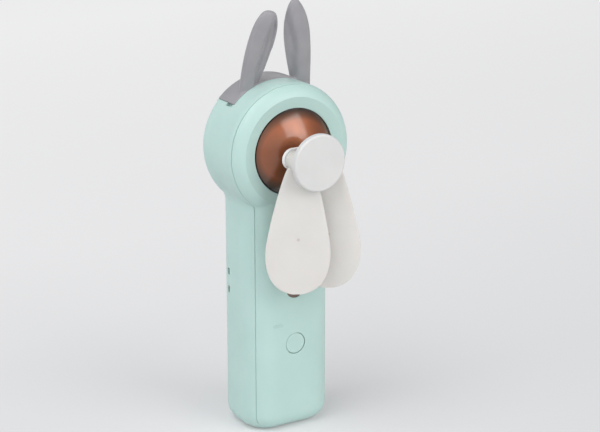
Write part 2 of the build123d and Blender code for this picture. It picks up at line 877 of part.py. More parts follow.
with BuildPart() as atomizer_disc:
    rod(disc_front, disc_front + disc_thickness, disc_radius, z=nozzle_height)
finish(atomizer_disc, "atomizer_disc")

with BuildPart() as atomizer_seat:
    rod(seat_front, seat_rear, seat_radius, z=nozzle_height)
    with BuildSketch(facing_front(seat_rear, 0, nozzle_height)) as seat_arms:
        SlotCenterToCenter(2 * seat_lug_offset, 2 * seat_lug_radius)
    extrude(seat_arms.sketch, amount=seat_thickness)
    rod(seat_front, port_seal_front, wick_tube, z=nozzle_height)
    rod(seat_front, port_seal_front, wick_bore, z=nozzle_height, mode=Mode.SUBTRACT)
    for x, z in seat_spots:
        rod(seat_front, seat_rear, screw_radius, x, z, Mode.SUBTRACT)
finish(atomizer_seat, "atomizer_seat")

with BuildPart() as atomizer_screws:
    for x, z in seat_spots:
        screw(seat_rear, seat_thickness + screw_reach - boss_root, x, z)
finish(atomizer_screws, "atomizer_screws")

# ---------------------------------------------------------------- button and switch
plunger_front = button_rear + slip
with BuildPart() as button:
    rod(front, inner_front + slip, button_radius, z=button_height)
    rod(inner_front + slip, plunger_front, button_radius + button_flange, z=button_height)
    fillet(button.faces().sort_by(Axis.Y)[0].edges(), button_gap)
finish(button, "button")

plunger_rear = switch_front + plunger_tail
with BuildPart() as switch_plunger:
    rod(plunger_front, plunger_rear, plunger_radius, z=button_height)
finish(switch_plunger, "switch_plunger")

with BuildPart() as tact_switch:
    block(
        (-switch_size / 2, switch_size / 2),
        (switch_front, board_front),
        (button_height - switch_size / 2, button_height + switch_size / 2),
    )
    rod(
        switch_front,
        plunger_rear + button_travel + touch_gap,
        plunger_radius + slip,
        z=button_height,
        mode=Mode.SUBTRACT,
    )
finish(tact_switch, "tact_switch")

# ---------------------------------------------------------------- circuit board and what it carries
with BuildPart() as circuit_board:
    block((-board_half_width, board_half_width), (board_front, board_rear), (board_bottom, board_top))
    for x, z in board_screw_spots:
        rod(board_front, board_rear, screw_radius, x, z, Mode.SUBTRACT)
finish(circuit_board, "circuit_board")

with BuildPart() as board_screws:
    for x, z in board_screw_spots:
        screw(board_rear, board_thickness + screw_reach, x, z)
finish(board_screws, "board_screws")

led_front = board_front - led_thickness
with BuildPart() as indicator_led:
    block(
        (light_x - led_size / 2, light_x + led_size / 2),
        (led_front, board_front),
        (light_z - led_size / 2, light_z + led_size / 2),
    )
finish(indicator_led, "indicator_led")

with BuildPart() as light_window:
    with BuildSketch(facing_front(led_front - touch_gap, light_x, light_z)):
        SlotOverall(light_length, light_width)
    extrude(amount=2 * wall + led_size)
    add(body_outside, mode=Mode.INTERSECT)
finish(light_window, "light_window")

with BuildPart() as board_parts:
    for x_range, z_range, height in chip_spots.values():
        block(x_range, (board_front - height, board_front), z_range)
finish(board_parts, "board_parts")

socket_face = handle_half_width - socket_recess - wall / 2
socket_plane = Plane(origin=(socket_face, socket_y, socket_height), x_dir=(0, 0, 1), z_dir=(1, 0, 0))
with BuildPart() as charge_socket:
    with BuildSketch(socket_plane) as socket_shell:
        SlotOverall(socket_width, socket_thickness)
    extrude(socket_shell.sketch, amount=-socket_length)
    with BuildSketch(socket_plane) as socket_mouth:
        SlotOverall(socket_width - 2 * tab_thickness, socket_thickness - 2 * tab_thickness)
    extrude(socket_mouth.sketch, amount=-socket_length + wall / 2, mode=Mode.SUBTRACT)
    with BuildSketch(socket_plane.offset(-socket_recess)) as socket_tongue:
        Rectangle(socket_width - socket_thickness, 2 * tab_thickness)
    extrude(socket_tongue.sketch, amount=-socket_length + socket_recess)
finish(charge_socket, "charge_socket")

# ---------------------------------------------------------------- battery
cell_top = cell_bottom + cell_length
with BuildPart() as battery_cell:
    upright(cell_bottom, cell_top, cell_radius, 0, cell_y)
    fillet(battery_cell.edges().filter_by(GeomType.CIRCLE), cell_rounding)
finish(battery_cell, "battery_cell")

tab_side = (-tab_width / 2, tab_width / 2)
strip_y = cell_y - cell_radius - 2 * tab_thickness
with BuildPart() as battery_tabs:
    block(tab_side, (board_rear, cell_y), (cell_top, cell_top + tab_thickness))
    block(tab_side, (strip_y - tab_thickness, cell_y), (cell_bottom - tab_thickness, cell_bottom))
    block(tab_side, (strip_y - tab_thickness, strip_y), (cell_bottom - tab_thickness, board_bottom + wall))
    block(tab_side, (board_rear, strip_y), (board_bottom + wall - tab_thickness, board_bottom + wall))
finish(battery_tabs, "battery_tabs")

with BuildPart() as battery_pad:
    upright(wall, cell_bottom - tab_thickness, pad_radius, 0, cell_y)
finish(battery_pad, "battery_pad")

# ---------------------------------------------------------------- motor leads
lead_y = motor_rear + terminal_depth / 2
with BuildPart() as motor_leads:
    for side in (-1, 1):
        with BuildLine() as route:
            FilletPolyline(
                (side * terminal_x, lead_y, head_height - terminal_height),
                (side * terminal_x, lead_y, lead_shift_high),
                (side * lead_x, port_seal_rear, lead_shift_low),
                (side * lead_x, port_seal_rear, lead_low),
                (side * lead_x, board_rear, lead_low),
                radius=lead_bend,
            )
        with BuildSketch(Plane(origin=route.line @ 0, z_dir=route.line % 0)) as lead_section:
            Circle(wire_radius)
        sweep(lead_section.sketch, path=route.line)
finish(motor_leads, "motor_leads")
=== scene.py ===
import json
import math

import bmesh
import bpy
from mathutils import Matrix, Vector


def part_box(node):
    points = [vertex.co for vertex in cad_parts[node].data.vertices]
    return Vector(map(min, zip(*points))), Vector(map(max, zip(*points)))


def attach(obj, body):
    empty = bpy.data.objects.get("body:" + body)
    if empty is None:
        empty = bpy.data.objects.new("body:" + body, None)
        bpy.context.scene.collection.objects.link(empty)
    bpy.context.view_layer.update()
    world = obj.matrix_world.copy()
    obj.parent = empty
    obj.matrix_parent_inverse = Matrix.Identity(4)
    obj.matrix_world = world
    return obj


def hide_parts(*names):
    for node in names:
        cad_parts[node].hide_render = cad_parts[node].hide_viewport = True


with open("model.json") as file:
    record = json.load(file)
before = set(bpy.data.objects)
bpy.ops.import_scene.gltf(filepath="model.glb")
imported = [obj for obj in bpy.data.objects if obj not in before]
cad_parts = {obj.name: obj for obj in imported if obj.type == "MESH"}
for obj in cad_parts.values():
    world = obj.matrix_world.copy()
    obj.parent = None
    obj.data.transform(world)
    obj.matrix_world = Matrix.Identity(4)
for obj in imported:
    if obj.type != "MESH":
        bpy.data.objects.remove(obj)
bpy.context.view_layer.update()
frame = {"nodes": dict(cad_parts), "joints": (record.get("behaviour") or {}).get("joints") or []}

# ---------------------------------------------------------------- studio
# A seamless pale table top with the fan standing on it, lit by a soft box at the front right, a
# larger one high at the left, and the pale walls of the room. The camera stands at the front left.
scene = bpy.context.scene
scene.view_settings.view_transform = "Standard"
shell_low, shell_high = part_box("rear_shell")
head_radius = (shell_high.x - shell_low.x) / 2
head_centre = Vector((0, 0, shell_high.z - head_radius))
view_azimuth = math.radians(-31.36)
view_elevation = math.radians(17.38)
view_distance = 0.75
view_height = 0.09452
view_shift_right = 0.01063
camera_back = Vector(
    (
        math.sin(view_azimuth) * math.cos(view_elevation),
        -math.cos(view_azimuth) * math.cos(view_elevation),
        math.sin(view_elevation),
    )
)
camera_right = Vector((math.cos(view_azimuth), math.sin(view_azimuth), 0))
look_at = Vector((0, 0, view_height)) + camera_right * view_shift_right
camera_data = bpy.data.cameras.new("camera")
camera_data.sensor_width = 36
camera_data.lens = 102.7
camera_data.clip_start = 0.01
camera = bpy.data.objects.new("camera", camera_data)
camera.location = look_at + camera_back * view_distance
camera.rotation_mode = "QUATERNION"
camera.rotation_quaternion = (-camera_back).to_track_quat("-Z", "Y")
scene.collection.objects.link(camera)
scene.camera = camera


def soft_box(name, side, watts, azimuth, elevation, distance, tint):
    """A square soft box that faces the head from an azimuth and elevation, in degrees."""
    turn, tilt = math.radians(azimuth), math.radians(elevation)
    towards = Vector(
        (math.sin(turn) * math.cos(tilt), -math.cos(turn) * math.cos(tilt), math.sin(tilt))
    )
    data = bpy.data.lights.new(name, "AREA")
    data.size = side
    data.energy = watts
    data.color = tint
    lamp = bpy.data.objects.new(name, data)
    lamp.location = head_centre + towards * distance
    lamp.rotation_mode = "QUATERNION"
    lamp.rotation_quaternion = (-towards).to_track_quat("-Z", "Y")
    scene.collection.objects.link(lamp)


soft_box(
    "front_soft_box",
    side=0.6,
    watts=3.45,
    azimuth=25,
    elevation=26,
    distance=0.9,
    tint=(1.0, 0.985, 0.965),
)
soft_box(
    "high_soft_box",
    side=0.9,
    watts=7.7,
    azimuth=-72,
    elevation=55,
    distance=1.1,
    tint=(0.98, 0.99, 1.0),
)


def card(red, green, blue):
    """A colour read off a paint card (0 to 255), as the shader wants it."""
    shares = [value / 255 for value in (red, green, blue)]
    linear = [((s + 0.055) / 1.055) ** 2.4 if s > 0.04045 else s / 12.92 for s in shares]
    return (*linear, 1)


def spread(tree, number, low, high, start=0.3, end=0.7):
    """A number between start and end, spread out between low and high."""
    ranger = tree.nodes.new("ShaderNodeMapRange")
    ranger.inputs["From Min"].default_value = start
    ranger.inputs["From Max"].default_value = end
    ranger.inputs["To Min"].default_value = low
    ranger.inputs["To Max"].default_value = high
    tree.links.new(number, ranger.inputs["Value"])
    return ranger.outputs["Result"]


def shades(tree, number, *stops):
    """A colour that follows a number between 0 and 1: each stop is a place and its colour."""
    ramp = tree.nodes.new("ShaderNodeValToRGB")
    ramp.color_ramp.elements[0].position = stops[0][0]
    ramp.color_ramp.elements[0].color = stops[0][1]
    ramp.color_ramp.elements[1].position = stops[-1][0]
    ramp.color_ramp.elements[1].color = stops[-1][1]
    for place, colour in stops[1:-1]:
        ramp.color_ramp.elements.new(place).color = colour
    tree.links.new(number, ramp.inputs["Fac"])
    return ramp.outputs["Color"]


# The room is brightest at table height and darker overhead, with a dim doorway at the right.
room = bpy.data.worlds.new("pale_room")
scene.world = room
room.use_nodes = True
tree = room.node_tree
room_light = tree.nodes["Background"]
room_light.inputs["Strength"].default_value = 0.86
room_way = tree.nodes.new("ShaderNodeSeparateXYZ")
tree.links.new(
    tree.nodes.new("ShaderNodeTexCoord").outputs["Generated"], room_way.inputs["Vector"]
)
room_walls = shades(
    tree,
    spread(tree, room_way.outputs["Z"], 0, 1, start=-1, end=1),
    (0.0, (0.55, 0.55, 0.56, 1)),
    (0.52, (0.98, 0.99, 1.0, 1)),
    (0.74, (0.88, 0.89, 0.90, 1)),
    (0.88, (0.34, 0.34, 0.35, 1)),
    (1.0, (0.22, 0.22, 0.23, 1)),
)
room_doorway = spread(tree, room_way.outputs["X"], 1, 0.3, start=0.55, end=0.85)
room_shade = tree.nodes.new("ShaderNodeVectorMath")
room_shade.operation = "SCALE"
tree.links.new(room_walls, room_shade.inputs[0])
tree.links.new(room_doorway, room_shade.inputs["Scale"])
tree.links.new(room_shade.outputs["Vector"], room_light.inputs["Color"])


def opened(material):
    """A material's node tree and its surface shader."""
    return material.node_tree, material.node_tree.nodes["Principled BSDF"]


def new_material(name):
    """A plain node material, with its tree and its surface shader."""
    material = bpy.data.materials.new(name)
    material.use_nodes = True
    return material, *opened(material)


def tune(material, settings):
    """Sets sockets of a material's surface shader, each to one value for the whole surface."""
    for socket, value in settings.items():
        opened(material)[1].inputs[socket].default_value = value


def noise(tree, patch):
    """Cloudy noise on the piece itself, with patches about this size in metres."""
    place = tree.nodes.new("ShaderNodeTexCoord")
    cloud = tree.nodes.new("ShaderNodeTexNoise")
    cloud.inputs["Scale"].default_value = 1 / patch
    cloud.inputs["Detail"].default_value = 2.0
    tree.links.new(place.outputs["Object"], cloud.inputs["Vector"])
    return cloud.outputs["Fac"]


bpy.ops.object.select_all(action="DESELECT")
bpy.ops.mesh.primitive_plane_add(size=8, location=(0, 0, 0))
table_top = bpy.context.object
table_top.name = "table_top"
table_paper, tree, shader = new_material("table_paper")
tune(table_paper, {"Roughness": 0.8, "Specular IOR Level": 0.2})
low_paper, high_paper = (0.78, 0.78, 0.79, 1), (0.80, 0.80, 0.81, 1)
paper_tone = shades(tree, noise(tree, 0.2), (0.3, low_paper), (0.7, high_paper))
tree.links.new(paper_tone, shader.inputs["Base Color"])

# The paper also shows a glow of its own to the camera and in glossy pieces, so that it stays pale.
# The glow is brighter further back, and weaker round the foot, where the fan's own shadow falls.
paper_place = tree.nodes.new("ShaderNodeTexCoord").outputs["Object"]
far_off = tree.nodes.new("ShaderNodeSeparateXYZ")
tree.links.new(paper_place, far_off.inputs["Vector"])
paper_light = shades(
    tree,
    spread(tree, far_off.outputs["Y"], 0, 1, start=-0.3, end=1.6),
    (0.08, card(216, 217, 218)),
    (0.16, card(221, 222, 223)),
    (0.30, card(238, 238, 239)),
    (0.64, card(255, 255, 255)),
)
paper_glow = tree.nodes.new("ShaderNodeEmission")
tree.links.new(paper_light, paper_glow.inputs["Color"])
from_foot = tree.nodes.new("ShaderNodeVectorMath")
from_foot.operation = "LENGTH"
tree.links.new(paper_place, from_foot.inputs[0])
glow_share = spread(tree, from_foot.outputs["Value"], 0.25, 0.72, start=0.022, end=0.16)
looked_at = tree.nodes.new("ShaderNodeLightPath")
seen = looked_at.outputs["Is Camera Ray"]
for ray in ("Is Glossy Ray", "Is Transmission Ray"):
    either = tree.nodes.new("ShaderNodeMath")
    either.operation = "MAXIMUM"
    tree.links.new(seen, either.inputs[0])
    tree.links.new(looked_at.outputs[ray], either.inputs[1])
    seen = either.outputs["Value"]
paper_share = tree.nodes.new("ShaderNodeMix")
paper_share.inputs["A"].default_value = 0
tree.links.new(glow_share, paper_share.inputs["B"])
tree.links.new(seen, paper_share.inputs["Factor"])
paper_mix = tree.nodes.new("ShaderNodeMixShader")
tree.links.new(paper_share.outputs["Result"], paper_mix.inputs["Fac"])
tree.links.new(shader.outputs["BSDF"], paper_mix.inputs[1])
tree.links.new(paper_glow.outputs["Emission"], paper_mix.inputs[2])
tree.links.new(paper_mix.outputs["Shader"], tree.nodes["Material Output"].inputs["Surface"])
table_top.data.materials.append(table_paper)


# ---------------------------------------------------------------- shell halves
# Two injection-moulded halves in mint ABS, spark-eroded to a fine satin grain and welded along
# the tongue and groove that shows as a hairline. Handling has polished them a little in patches.
def dress(material, *nodes):
    """Gives finished CAD pieces their material."""
    for node in nodes:
        for holder in frame["nodes"][node].material_slots:
            holder.material = material


def relief(tree, shader, height, depth):
    """Raises and lowers the surface by a height between 0 and 1, times a depth in metres."""
    bump = tree.nodes.new("ShaderNodeBump")
    bump.inputs["Distance"].default_value = depth
    tree.links.new(height, bump.inputs["Height"])
    tree.links.new(bump.outputs["Normal"], shader.inputs["Normal"])


def moulded(name, low_tone, high_tone, roughness, patch=0.02, grain=0.0004, depth=0.000006):
    """Moulded plastic or rubber: two close tones in soft patches, uneven gloss, a fine grain."""
    material, tree, shader = new_material(name)
    tone = shades(tree, noise(tree, patch), (0.3, low_tone), (0.7, high_tone))
    tree.links.new(tone, shader.inputs["Base Color"])
    gloss = spread(tree, noise(tree, patch / 3), roughness - 0.05, roughness + 0.06)
    tree.links.new(gloss, shader.inputs["Roughness"])
    relief(tree, shader, noise(tree, grain), depth)
    return material


mint_abs = moulded("mint_abs", card(180, 209, 203), card(185, 213, 207), 0.42)
tune(mint_abs, {"IOR": 1.5, "Subsurface Weight": 0.06, "Subsurface Scale": 0.002})
dress(mint_abs, "front_shell", "rear_shell")

# ---------------------------------------------------------------- battery
# A lithium cell in a blue shrink sleeve stands in the handle on its foam pad, between two
# spot-welded nickel tabs that run to the board.
cell_sleeve = moulded(
    "cell_sleeve",
    card(36, 92, 158),
    card(42, 100, 168),
    0.3,
    patch=0.006,
    grain=0.002,
    depth=0.00002,
)
dress(cell_sleeve, "battery_cell")
pad_foam = moulded(
    "pad_foam",
    card(44, 44, 46),
    card(56, 56, 58),
    0.85,
    patch=0.002,
    grain=0.0006,
    depth=0.0001,
)
dress(pad_foam, "battery_pad")


def metal(name, low_tone, high_tone, roughness, patch=0.006, grain=0.0003, depth=0.000004):
    """Bare or plated metal: two close tones, uneven polish and a fine grain."""
    material = moulded(name, low_tone, high_tone, roughness, patch, grain, depth)
    tune(material, {"Metallic": 1})
    return material


nickel_strip = metal("nickel_strip", card(196, 192, 184), card(208, 205, 198), 0.28)
dress(nickel_strip, "battery_tabs", "charge_socket")

# ---------------------------------------------------------------- control board
# The board screws to bosses in the front shell. It carries two chips, the coil that drives the
# mist disc, a light behind its window, the button's switch and the charge socket.
solder_mask, tree, shader = new_material("solder_mask")
tracks = tree.nodes.new("ShaderNodeTexBrick")
tracks.inputs["Scale"].default_value = 220
tracks.inputs["Mortar Size"].default_value = 0.06
tracks.inputs["Color1"].default_value = (0.004, 0.095, 0.030, 1)
tracks.inputs["Color2"].default_value = (0.006, 0.110, 0.036, 1)
tracks.inputs["Mortar"].default_value = (0.02, 0.20, 0.07, 1)
upright = tree.nodes.new("ShaderNodeMapping")
upright.inputs["Rotation"].default_value = (math.radians(90), 0, 0)
place = tree.nodes.new("ShaderNodeTexCoord")
tree.links.new(place.outputs["Object"], upright.inputs["Vector"])
tree.links.new(upright.outputs["Vector"], tracks.inputs["Vector"])
tree.links.new(tracks.outputs["Color"], shader.inputs["Base Color"])
tree.links.new(spread(tree, noise(tree, 0.004), 0.22, 0.34), shader.inputs["Roughness"])
relief(tree, shader, tracks.outputs["Fac"], 0.00002)
dress(solder_mask, "circuit_board")

chip_epoxy = moulded(
    "chip_epoxy",
    card(30, 30, 31),
    card(38, 38, 39),
    0.5,
    patch=0.002,
    grain=0.0001,
    depth=0.000005,
)
dress(chip_epoxy, "board_parts")
black_abs = moulded(
    "black_abs", card(34, 34, 36), card(42, 42, 44), 0.48, patch=0.01, grain=0.0003
)
dress(black_abs, "motor_mount", "atomizer_seat", "switch_plunger", "tact_switch")
lamp_resin = moulded(
    "lamp_resin",
    card(236, 236, 226),
    card(242, 242, 234),
    0.15,
    patch=0.001,
    grain=0.0003,
    depth=0.000002,
)
dress(lamp_resin, "indicator_led")
bright_steel = metal(
    "bright_steel", card(186, 187, 190), card(204, 205, 208), 0.24, patch=0.003
)
dress(bright_steel, "board_screws", "motor_mount_screws", "atomizer_screws")
dress(bright_steel, "wick_spring", "motor_shaft")

window_resin = moulded(
    "window_resin",
    card(178, 205, 199),
    card(184, 210, 204),
    0.22,
    patch=0.001,
    grain=0.0003,
    depth=0.000002,
)
tune(window_resin, {"Subsurface Weight": 0.3, "Subsurface Scale": 0.001})
dress(window_resin, "light_window")

# ---------------------------------------------------------------- motor
# A round brushed motor clamps in its mount behind the dome: a zinc-plated can with two ferrite
# arcs, a laminated rotor on a steel shaft in sintered bushings, and two soldered leads down to
# the board.
zinc_plate = metal("zinc_plate", card(168, 170, 174), card(190, 191, 194), 0.34, patch=0.004)
dress(zinc_plate, "motor_can")
sintered_bronze = metal(
    "sintered_bronze",
    card(160, 122, 72),
    card(178, 138, 86),
    0.5,
    patch=0.0008,
    grain=0.0002,
    depth=0.00001,
)
dress(sintered_bronze, "motor_bushings", "motor_terminals")
ferrite = moulded(
    "ferrite",
    card(62, 62, 64),
    card(74, 73, 74),
    0.6,
    patch=0.001,
    grain=0.0002,
    depth=0.00001,
)
dress(ferrite, "motor_magnets")
dress(black_abs, "motor_endbell")

laminated_steel = metal("laminated_steel", card(120, 112, 104), card(138, 130, 120), 0.42)
tree, shader = opened(laminated_steel)
sheets = tree.nodes.new("ShaderNodeTexWave")
sheets.bands_direction = "Y"
sheets.inputs["Scale"].default_value = 320
place = tree.nodes.new("ShaderNodeTexCoord")
tree.links.new(place.outputs["Object"], sheets.inputs["Vector"])
relief(tree, shader, sheets.outputs["Fac"], 0.00004)
dress(laminated_steel, "motor_rotor")

lead_sleeve = moulded(
    "lead_sleeve", card(172, 30, 28), card(186, 38, 34), 0.4, patch=0.004, depth=0.000004
)
dress(lead_sleeve, "motor_leads")

# ---------------------------------------------------------------- dome
# The dome in front of the motor is a thin pressed cap with lacquered satin copper plating. Outside
# an oval it is painted darker towards the rim: painted dark reflection at its top and bottom, and
# painted shade in the gap round the rim.
dome_low, dome_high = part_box("dome_cover")
dome_radius = (dome_high.x - dome_low.x) / 2
painted_shade_reach = 1.15
oval_width = 0.87
oval_height = 1.12
oval_rise = 0.0012
copper_plate = metal(
    "copper_plate",
    card(176, 108, 80),
    card(188, 118, 90),
    0.52,
    patch=0.02,
    grain=0.002,
    depth=0.000002,
)
tune(copper_plate, {"Coat Weight": 1, "Coat Roughness": 0.16, "Coat IOR": 1.6})
tree, shader = opened(copper_plate)
squeeze = tree.nodes.new("ShaderNodeMapping")
squeeze.inputs["Scale"].default_value = (oval_width, 1, oval_height)
place = tree.nodes.new("ShaderNodeTexCoord")
tree.links.new(place.outputs["Object"], squeeze.inputs["Vector"])
from_middle = tree.nodes.new("ShaderNodeVectorMath")
from_middle.operation = "DISTANCE"
from_middle.inputs[1].default_value = (0, dome_low.y, head_centre.z * oval_height + oval_rise)
tree.links.new(squeeze.outputs["Vector"], from_middle.inputs[0])
out_from_middle = from_middle.outputs["Value"]
# The outer dark stops are painted dark reflection and painted shade. The plating itself does not
# change there.
plating_and_painted_shade = shades(
    tree,
    spread(tree, out_from_middle, 0, 1, start=0, end=dome_radius * painted_shade_reach),
    (0.0, card(152, 92, 60)),
    (0.50, card(154, 91, 58)),
    (0.64, card(160, 93, 60)),
    (0.74, card(114, 73, 51)),
    (0.86, card(62, 48, 42)),
    (1.0, card(36, 31, 29)),
)
tree.links.new(plating_and_painted_shade, shader.inputs["Base Color"])
dress(copper_plate, "dome_cover")

# ---------------------------------------------------------------- hub
# The carrier presses onto the motor shaft and holds the two posts that the blades hang on. The
# round cap clips over them. Both are white ABS with a satin finish. The carrier is painted a
# lighter
# white than the cap: painted light that makes up for the shade it sits in behind the cap.
white_abs = moulded(
    "white_abs", card(210, 210, 209), card(213, 213, 212), 0.38, patch=0.012, depth=0.000004
)
tune(white_abs, {"Subsurface Weight": 0.08, "Subsurface Scale": 0.002})
dress(white_abs, "hub_cap")
# A lighter copy of the white ABS: painted light for the carrier, which sits in the cap's shade.
carrier_white_painted_light = moulded(
    "carrier_white_painted_light", card(236, 236, 235), card(240, 240, 239), 0.42, patch=0.012, depth=0.000004
)
dress(carrier_white_painted_light, "hub_carrier")

# ---------------------------------------------------------------- blades
# Two soft white blades hang folded from the hub. Each is moulded with its eye in one piece,
# thinner towards the tip, a little hollow across, with rounded edges and a gate mark in the middle.
blade_pitch = math.radians(28)
blade_swing = math.radians(1.8)
blade_shift = 0.0008
blade_setback = 0.0005
blade_thickness = 0.0012
blade_edge_share = 0.35
blade_tip_loss = 0.2
blade_hollow = 0.00025
blade_columns = 10
# Each edge curve runs through four points, each a half width and how far it hangs below the post.
blade_root_curve = ((0.0050, 0.0024), (0.0074, 0.0052), (0.0139, 0.034), (0.0139, 0.040))
blade_root_rings = 14
blade_tip_curve = ((0.0139, 0.040), (0.0139, 0.051), (0.0094, 0.0585), (0, 0.0585))
blade_tip_rings = 16
eye_radius = 0.0043
eye_length = 0.008
eye_bore_radius = 0.0017
eye_rounding = 0.0003
gate_drop = 0.034
gate_radius = 0.0005
gate_outside = 0.0009
gate_relief = 0.00005


def take_up(piece):
    """Selects one piece and nothing else."""
    bpy.ops.object.select_all(action="DESELECT")
    piece.select_set(True)
    bpy.context.view_layer.objects.active = piece


def edit(piece):
    """Opens one piece for editing."""
    take_up(piece)
    bpy.ops.object.mode_set(mode="EDIT")


def pick(kind, test):
    """Selects the points or faces of the open piece whose middle passes a test."""
    bpy.ops.mesh.select_mode(type=kind)
    bpy.ops.mesh.select_all(action="DESELECT")
    mesh = bmesh.from_edit_mesh(bpy.context.object.data)
    for part in mesh.verts if kind == "VERT" else mesh.faces:
        corners = [part] if kind == "VERT" else list(part.verts)
        middle = sum((corner.co for corner in corners), Vector()) / len(corners)
        if test(middle):
            part.select_set(True)
    if kind == "VERT":
        mesh.select_flush(True)
    else:
        mesh.select_flush_mode()
    bmesh.update_edit_mesh(bpy.context.object.data)


def face_outwards():
    """Turns every face of the open piece outwards."""
    bpy.ops.mesh.select_all(action="SELECT")
    bpy.ops.mesh.normals_make_consistent(inside=False)


def finish_edit():
    """Back to the whole object."""
    bpy.ops.object.mode_set(mode="OBJECT")


def settle(piece, placing=None):
    """Puts a piece in its place and writes the place into its mesh."""
    take_up(piece)
    if placing is not None:
        piece.matrix_world = placing
    bpy.ops.object.transform_apply(location=True, rotation=True, scale=True)


def modify(piece, kind, **settings):
    """Adds one modifier and applies it."""
    take_up(piece)
    modifier = piece.modifiers.new(kind.lower(), kind)
    for name, value in settings.items():
        setattr(modifier, name, value)
    bpy.ops.object.modifier_apply(modifier=modifier.name)


def along(curve, share):
    """Half width and drop at a share of one edge curve."""
    first, second, third, last = (Vector(point) for point in curve)
    rest = 1 - share
    near = first * rest**3 + second * 3 * rest**2 * share
    return near + third * 3 * rest * share**2 + last * share**3


def draw_leaf():
    """The open piece, a strip at the blade's root, is drawn down ring by ring to the tip."""
    root_half_width = blade_root_curve[0][0]
    bpy.ops.mesh.select_all(action="SELECT")
    bpy.ops.transform.resize(value=(2 * root_half_width, blade_thickness, 1))
    pick("VERT", lambda place: abs(place.x) > root_half_width * 0.98)
    bpy.ops.transform.resize(value=(1, blade_edge_share, 1))
    for column in range(blade_columns + 1):
        share = 2 * column / blade_columns - 1
        across = share * root_half_width
        pick("VERT", lambda place: abs(place.x - across) < root_half_width * 0.05)
        bpy.ops.transform.translate(value=(0, blade_hollow * (1 - share**2), 0))
    bpy.ops.mesh.select_all(action="SELECT")
    rings = [along(blade_root_curve, step / blade_root_rings) for step in range(blade_root_rings)]
    rings += [along(blade_tip_curve, step / blade_tip_rings) for step in range(blade_tip_rings)]
    thinner = 1 - blade_tip_loss / len(rings)
    half_width, drop = rings[0]
    bpy.ops.transform.translate(value=(0, 0, -drop))
    for new_half_width, new_drop in rings[1:]:
        bpy.ops.mesh.extrude_region_move(
            TRANSFORM_OT_translate={"value": (0, 0, drop - new_drop)}
        )
        bpy.ops.transform.resize(
            value=(new_half_width / half_width, thinner, 1), center_override=(0, 0, -new_drop)
        )
        half_width, drop = new_half_width, new_drop


def make_eye(pivot):
    """The bored eye that turns on the hub's post."""
    bpy.ops.object.select_all(action="DESELECT")
    bpy.ops.mesh.primitive_cylinder_add(vertices=64, radius=eye_radius, depth=eye_length)
    eye = bpy.context.object
    edit(eye)
    pick("FACE", lambda place: abs(place.z) > eye_length * 0.49)
    bpy.ops.mesh.inset(thickness=eye_radius - eye_bore_radius)
    bpy.ops.mesh.bridge_edge_loops()
    face_outwards()
    finish_edit()
    placing = Matrix.Rotation(math.radians(90), 4, "X")
    placing.translation = pivot
    settle(eye, placing)
    modify(eye, "BEVEL", width=eye_rounding, segments=2, limit_method="ANGLE")
    return eye


def blade_white(name, gate):
    """Soft white plastic with a small darker nub where it was fed, at the gate."""
    soft_white = moulded(
        name,
        card(213, 211, 207),
        card(217, 215, 211),
        0.46,
        patch=0.014,
        grain=0.0003,
        depth=0.000004,
    )
    tune(soft_white, {"Subsurface Weight": 0.12, "Subsurface Scale": 0.0015})
    tree, shader = opened(soft_white)
    from_gate = tree.nodes.new("ShaderNodeVectorMath")
    from_gate.operation = "DISTANCE"
    from_gate.inputs[1].default_value = gate
    place = tree.nodes.new("ShaderNodeTexCoord")
    tree.links.new(place.outputs["Object"], from_gate.inputs[0])
    nub = spread(tree, from_gate.outputs["Value"], 1, 0, start=gate_radius, end=gate_outside)
    grainy_nub = tree.nodes.new("ShaderNodeMath")
    grainy_nub.operation = "ADD"
    tree.links.new(nub, grainy_nub.inputs[0])
    tree.links.new(noise(tree, 0.0004), grainy_nub.inputs[1])
    relief(tree, shader, grainy_nub.outputs["Value"], gate_relief)
    leaf_tone = shader.inputs["Base Color"].links[0].from_socket
    gate_tone = tree.nodes.new("ShaderNodeMix")
    gate_tone.data_type = "RGBA"
    gate_tone.inputs["B"].default_value = card(192, 190, 186)
    tree.links.new(nub, gate_tone.inputs["Factor"])
    tree.links.new(leaf_tone, gate_tone.inputs["A"])
    tree.links.new(gate_tone.outputs["Result"], shader.inputs["Base Color"])
    return soft_white


def make_blade(name, side, pivot):
    """The leaf is set at its pitch below the post and joined to its eye."""
    bpy.ops.object.select_all(action="DESELECT")
    bpy.ops.mesh.primitive_grid_add(x_subdivisions=blade_columns, y_subdivisions=2, size=1)
    leaf = bpy.context.object
    leaf.name = name + "_leaf"
    edit(leaf)
    draw_leaf()
    face_outwards()
    finish_edit()
    turn = Matrix.Rotation(-side * blade_swing, 4, "Y") @ Matrix.Rotation(-blade_pitch, 4, "Z")
    hung_from = Vector((pivot.x, pivot.y + blade_setback, pivot.z))
    placing = turn @ Matrix.Translation((blade_shift, 0, 0))
    placing.translation += hung_from
    settle(leaf, placing)
    modify(leaf, "SUBSURF", levels=2, render_levels=2)
    eye = make_eye(pivot)
    modify(leaf, "BOOLEAN", operation="UNION", object=eye, solver="EXACT")
    bpy.data.objects.remove(eye, do_unlink=True)
    edit(leaf)
    bpy.ops.mesh.select_all(action="SELECT")
    bpy.ops.mesh.remove_doubles(threshold=0.000014)
    bpy.ops.mesh.dissolve_degenerate(threshold=0.000003)
    finish_edit()
    bpy.ops.object.shade_smooth_by_angle(angle=math.radians(40))
    gate = turn @ Vector((blade_shift, -blade_thickness / 2, -gate_drop)) + hung_from
    leaf.data.materials.clear()
    leaf.data.materials.append(blade_white(name + "_white", gate))
    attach(leaf, name)
    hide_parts({"left_blade": "blade_left", "right_blade": "blade_right"}[name])


for joint in frame["joints"]:
    if joint["name"].endswith("blade_fold"):
        make_blade(joint["child"], -1 if "left" in joint["name"] else 1, Vector(joint["pos_m"]))

